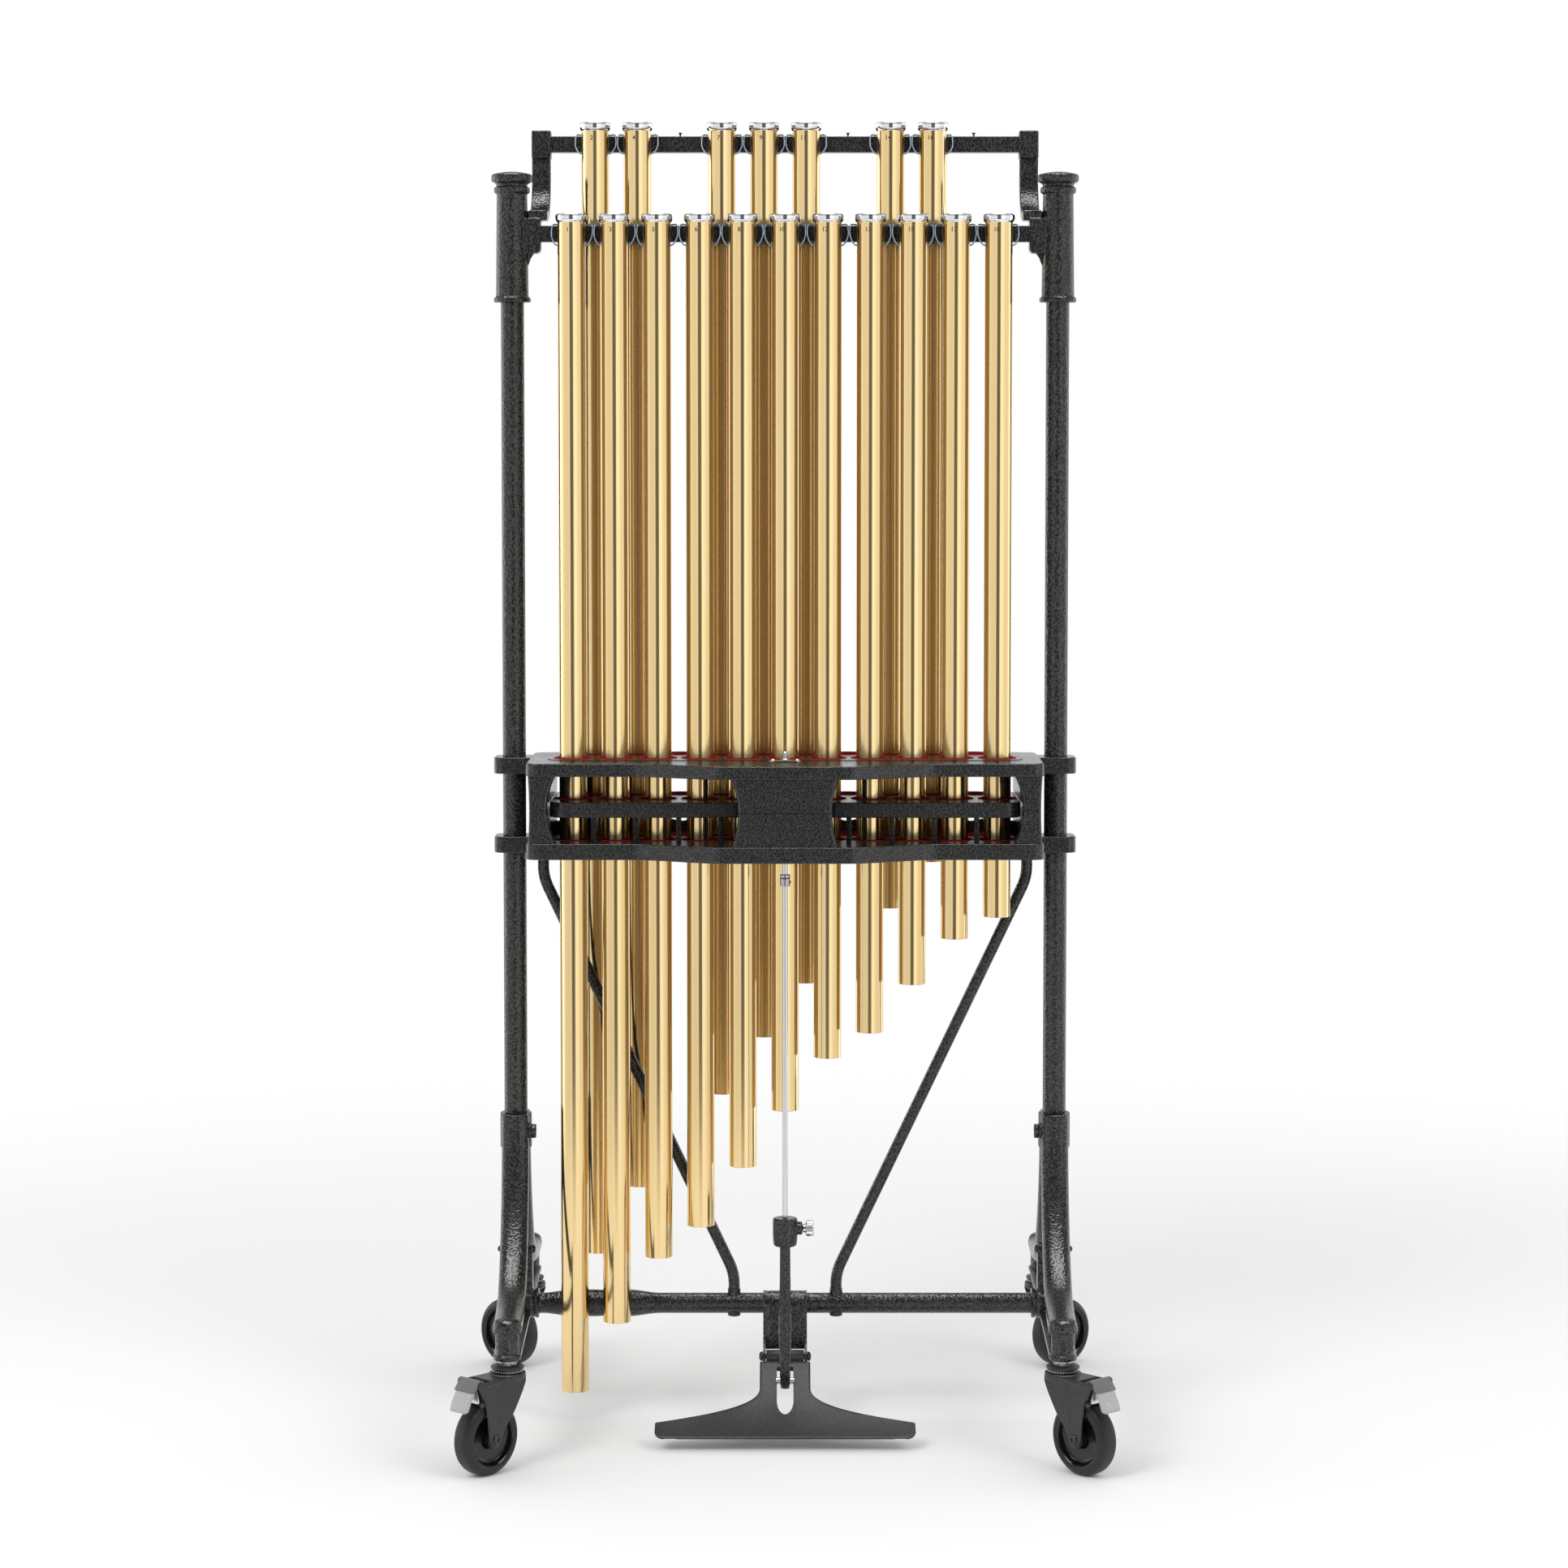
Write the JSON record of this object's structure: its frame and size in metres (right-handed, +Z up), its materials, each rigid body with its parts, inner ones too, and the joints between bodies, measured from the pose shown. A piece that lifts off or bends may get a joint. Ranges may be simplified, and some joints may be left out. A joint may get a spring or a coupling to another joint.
{
  "type": "tubular bells",
  "caption": "Orchestral tubular bells: two rows of hanging tubes on a rolling stand, with a damper box worked by a foot pedal.",
  "frame": {"origin": "on the floor, under the middle of the whole object's box", "axes": "+Z up, -Y towards the player at the pedal, +X to the player's right"},
  "size_m": [0.9042, 0.6928, 1.801],
  "materials": {
    "bell_brass": "satin brushed, with chrome caps",
    "chrome": "polished",
    "hammered_black": "hammered gloss black",
    "cord": "coated cord",
    "damper_black": "black paint",
    "rubber": "matte",
    "wheel_rubber": "matte",
    "rod_steel": "zinc plated",
    "lever_grey": "moulded grey",
    "felt_red": "red felt rings on the damper plates"
  },
  "bodies": {
    "stand": {"post_left": "hammered_black", "post_right": "hammered_black", "post_cap_left": "hammered_black", "post_cap_right": "hammered_black", "rail_bracket_left": "hammered_black", "rail_bracket_right": "hammered_black", "rail_front": "hammered_black", "rail_back": "hammered_black", "leg_front_left": "hammered_black", "leg_front_right": "hammered_black", "leg_back_left": "hammered_black", "leg_back_right": "hammered_black", "crossbar": "hammered_black", "stay_left": "hammered_black", "stay_right": "hammered_black", "damper_box_top": "damper_black", "damper_box_bottom": "damper_black", "cord_front": "cord", "cord_back_low": "cord", "cord_back_mid": "cord", "cord_back_high": "cord", "pedal_bracket": "hammered_black", "pedal_hinge_pin": "hammered_black", "return_spring": "rod_steel"},
    "pedal": {"pedal": "hammered_black", "pedal_pin": "hammered_black", "pedal_pad": "rubber"},
    "pull_rod": {"pull_rod": "rod_steel", "stop_collar": "chrome", "link_arm": "hammered_black", "wing_screw": "chrome"},
    "damper_grid": {"damper_grid": "damper_black"},
    "caster_front_left": {"caster_fork_front_left": "hammered_black"},
    "wheel_front_left": {"caster_wheel_front_left": "wheel_rubber"},
    "brake_left": {"caster_brake_left": "lever_grey"},
    "caster_back_left": {"caster_fork_back_left": "hammered_black"},
    "wheel_back_left": {"caster_wheel_back_left": "wheel_rubber"},
    "caster_front_right": {"caster_fork_front_right": "hammered_black"},
    "wheel_front_right": {"caster_wheel_front_right": "wheel_rubber"},
    "brake_right": {"caster_brake_right": "lever_grey"},
    "caster_back_right": {"caster_fork_back_right": "hammered_black"},
    "wheel_back_right": {"caster_wheel_back_right": "wheel_rubber"},
    "tube_front_01": {"tube_front_01": "bell_brass"},
    "tube_front_02": {"tube_front_02": "bell_brass"},
    "tube_front_03": {"tube_front_03": "bell_brass"},
    "tube_front_04": {"tube_front_04": "bell_brass"},
    "tube_front_05": {"tube_front_05": "bell_brass"},
    "tube_front_06": {"tube_front_06": "bell_brass"},
    "tube_front_07": {"tube_front_07": "bell_brass"},
    "tube_front_08": {"tube_front_08": "bell_brass"},
    "tube_front_09": {"tube_front_09": "bell_brass"},
    "tube_front_10": {"tube_front_10": "bell_brass"},
    "tube_front_11": {"tube_front_11": "bell_brass"},
    "tube_back_01": {"tube_back_01": "bell_brass"},
    "tube_back_02": {"tube_back_02": "bell_brass"},
    "tube_back_03": {"tube_back_03": "bell_brass"},
    "tube_back_04": {"tube_back_04": "bell_brass"},
    "tube_back_05": {"tube_back_05": "bell_brass"},
    "tube_back_06": {"tube_back_06": "bell_brass"},
    "tube_back_07": {"tube_back_07": "bell_brass"}
  },
  "joints": [
    {"name": "pedal_hinge", "type": "hinge", "parent": "stand", "child": "pedal", "pos_m": [0, -0.0373, 0.095], "axis": [1, 0, 0], "range_deg": [0, 6], "stiffness_Nm_per_rad": 10, "springref_deg": -34.38},
    {"name": "rod_slide", "type": "slide", "parent": "stand", "child": "pull_rod", "axis": [0, 0, -1], "range_m": [0, 0.00425], "deforming": ["return_spring"]},
    {"name": "grid_slide", "type": "slide", "parent": "stand", "child": "damper_grid", "axis": [0, 1, 0], "range_m": [0, 0.00362]},
    {"name": "swivel_front_left", "type": "hinge", "parent": "stand", "child": "caster_front_left", "pos_m": [-0.3685, -0.26531, 0.13], "axis": [0, 0, 1], "continuous": true},
    {"name": "roll_front_left", "type": "hinge", "parent": "caster_front_left", "child": "wheel_front_left", "pos_m": [-0.39507, -0.29587, 0.04938], "axis": [0.7547, -0.6561, 0], "continuous": true},
    {"name": "brake_left", "type": "hinge", "parent": "caster_front_left", "child": "brake_left", "pos_m": [-0.41147, -0.31474, 0.129], "axis": [0.7547, -0.6561, 0], "range_deg": [0, 12]},
    {"name": "swivel_back_left", "type": "hinge", "parent": "stand", "child": "caster_back_left", "pos_m": [-0.377, 0.28069, 0.13], "axis": [0, 0, 1], "continuous": true},
    {"name": "roll_back_left", "type": "hinge", "parent": "caster_back_left", "child": "wheel_back_left", "pos_m": [-0.40793, 0.30684, 0.04938], "axis": [-0.6455, -0.7638, 0], "continuous": true},
    {"name": "swivel_front_right", "type": "hinge", "parent": "stand", "child": "caster_front_right", "pos_m": [0.3685, -0.26531, 0.13], "axis": [0, 0, 1], "continuous": true},
    {"name": "roll_front_right", "type": "hinge", "parent": "caster_front_right", "child": "wheel_front_right", "pos_m": [0.39507, -0.29587, 0.04938], "axis": [0.7547, 0.6561, 0], "continuous": true},
    {"name": "brake_right", "type": "hinge", "parent": "caster_front_right", "child": "brake_right", "pos_m": [0.41147, -0.31474, 0.129], "axis": [0.7547, 0.6561, 0], "range_deg": [0, 12]},
    {"name": "swivel_back_right", "type": "hinge", "parent": "stand", "child": "caster_back_right", "pos_m": [0.377, 0.28069, 0.13], "axis": [0, 0, 1], "continuous": true},
    {"name": "roll_back_right", "type": "hinge", "parent": "caster_back_right", "child": "wheel_back_right", "pos_m": [0.40793, 0.30684, 0.04938], "axis": [-0.6455, 0.7638, 0], "continuous": true},
    {"name": "swing_front_01", "type": "hinge", "parent": "stand", "child": "tube_front_01", "pos_m": [-0.2915, -0.02981, 1.629], "axis": [1, 0, 0], "range_deg": [-0.2, 0]},
    {"name": "swing_front_02", "type": "hinge", "parent": "stand", "child": "tube_front_02", "pos_m": [-0.2332, -0.02981, 1.629], "axis": [1, 0, 0], "range_deg": [-0.2, 0]},
    {"name": "swing_front_03", "type": "hinge", "parent": "stand", "child": "tube_front_03", "pos_m": [-0.1749, -0.02981, 1.629], "axis": [1, 0, 0], "range_deg": [-0.2, 0]},
    {"name": "swing_front_04", "type": "hinge", "parent": "stand", "child": "tube_front_04", "pos_m": [-0.1166, -0.02981, 1.629], "axis": [1, 0, 0], "range_deg": [-0.2, 0]},
    {"name": "swing_front_05", "type": "hinge", "parent": "stand", "child": "tube_front_05", "pos_m": [-0.0583, -0.02981, 1.629], "axis": [1, 0, 0], "range_deg": [-0.2, 0]},
    {"name": "swing_front_06", "type": "hinge", "parent": "stand", "child": "tube_front_06", "pos_m": [0, -0.02981, 1.629], "axis": [1, 0, 0], "range_deg": [-0.2, 0]},
    {"name": "swing_front_07", "type": "hinge", "parent": "stand", "child": "tube_front_07", "pos_m": [0.0583, -0.02981, 1.629], "axis": [1, 0, 0], "range_deg": [-0.2, 0]},
    {"name": "swing_front_08", "type": "hinge", "parent": "stand", "child": "tube_front_08", "pos_m": [0.1166, -0.02981, 1.629], "axis": [1, 0, 0], "range_deg": [-0.2, 0]},
    {"name": "swing_front_09", "type": "hinge", "parent": "stand", "child": "tube_front_09", "pos_m": [0.1749, -0.02981, 1.629], "axis": [1, 0, 0], "range_deg": [-0.2, 0]},
    {"name": "swing_front_10", "type": "hinge", "parent": "stand", "child": "tube_front_10", "pos_m": [0.2332, -0.02981, 1.629], "axis": [1, 0, 0], "range_deg": [-0.2, 0]},
    {"name": "swing_front_11", "type": "hinge", "parent": "stand", "child": "tube_front_11", "pos_m": [0.2915, -0.02981, 1.629], "axis": [1, 0, 0], "range_deg": [-0.2, 0]},
    {"name": "swing_back_01", "type": "hinge", "parent": "stand", "child": "tube_back_01", "pos_m": [-0.26235, 0.04519, 1.759], "axis": [1, 0, 0], "range_deg": [-0.2, 0]},
    {"name": "swing_back_02", "type": "hinge", "parent": "stand", "child": "tube_back_02", "pos_m": [-0.20405, 0.04519, 1.759], "axis": [1, 0, 0], "range_deg": [-0.2, 0]},
    {"name": "swing_back_03", "type": "hinge", "parent": "stand", "child": "tube_back_03", "pos_m": [-0.08745, 0.04519, 1.759], "axis": [1, 0, 0], "range_deg": [-0.2, 0]},
    {"name": "swing_back_04", "type": "hinge", "parent": "stand", "child": "tube_back_04", "pos_m": [-0.02915, 0.04519, 1.759], "axis": [1, 0, 0], "range_deg": [-0.2, 0]},
    {"name": "swing_back_05", "type": "hinge", "parent": "stand", "child": "tube_back_05", "pos_m": [0.02915, 0.04519, 1.759], "axis": [1, 0, 0], "range_deg": [-0.2, 0]},
    {"name": "swing_back_06", "type": "hinge", "parent": "stand", "child": "tube_back_06", "pos_m": [0.14575, 0.04519, 1.759], "axis": [1, 0, 0], "range_deg": [-0.2, 0]},
    {"name": "swing_back_07", "type": "hinge", "parent": "stand", "child": "tube_back_07", "pos_m": [0.20405, 0.04519, 1.759], "axis": [1, 0, 0], "range_deg": [-0.2, 0]}
  ],
  "couplings": [
    {"joint": "rod_slide", "follows": "pedal_hinge", "m_per_rad": 0.038645},
    {"joint": "grid_slide", "follows": "pedal_hinge", "m_per_rad": 0.03357}
  ]
}
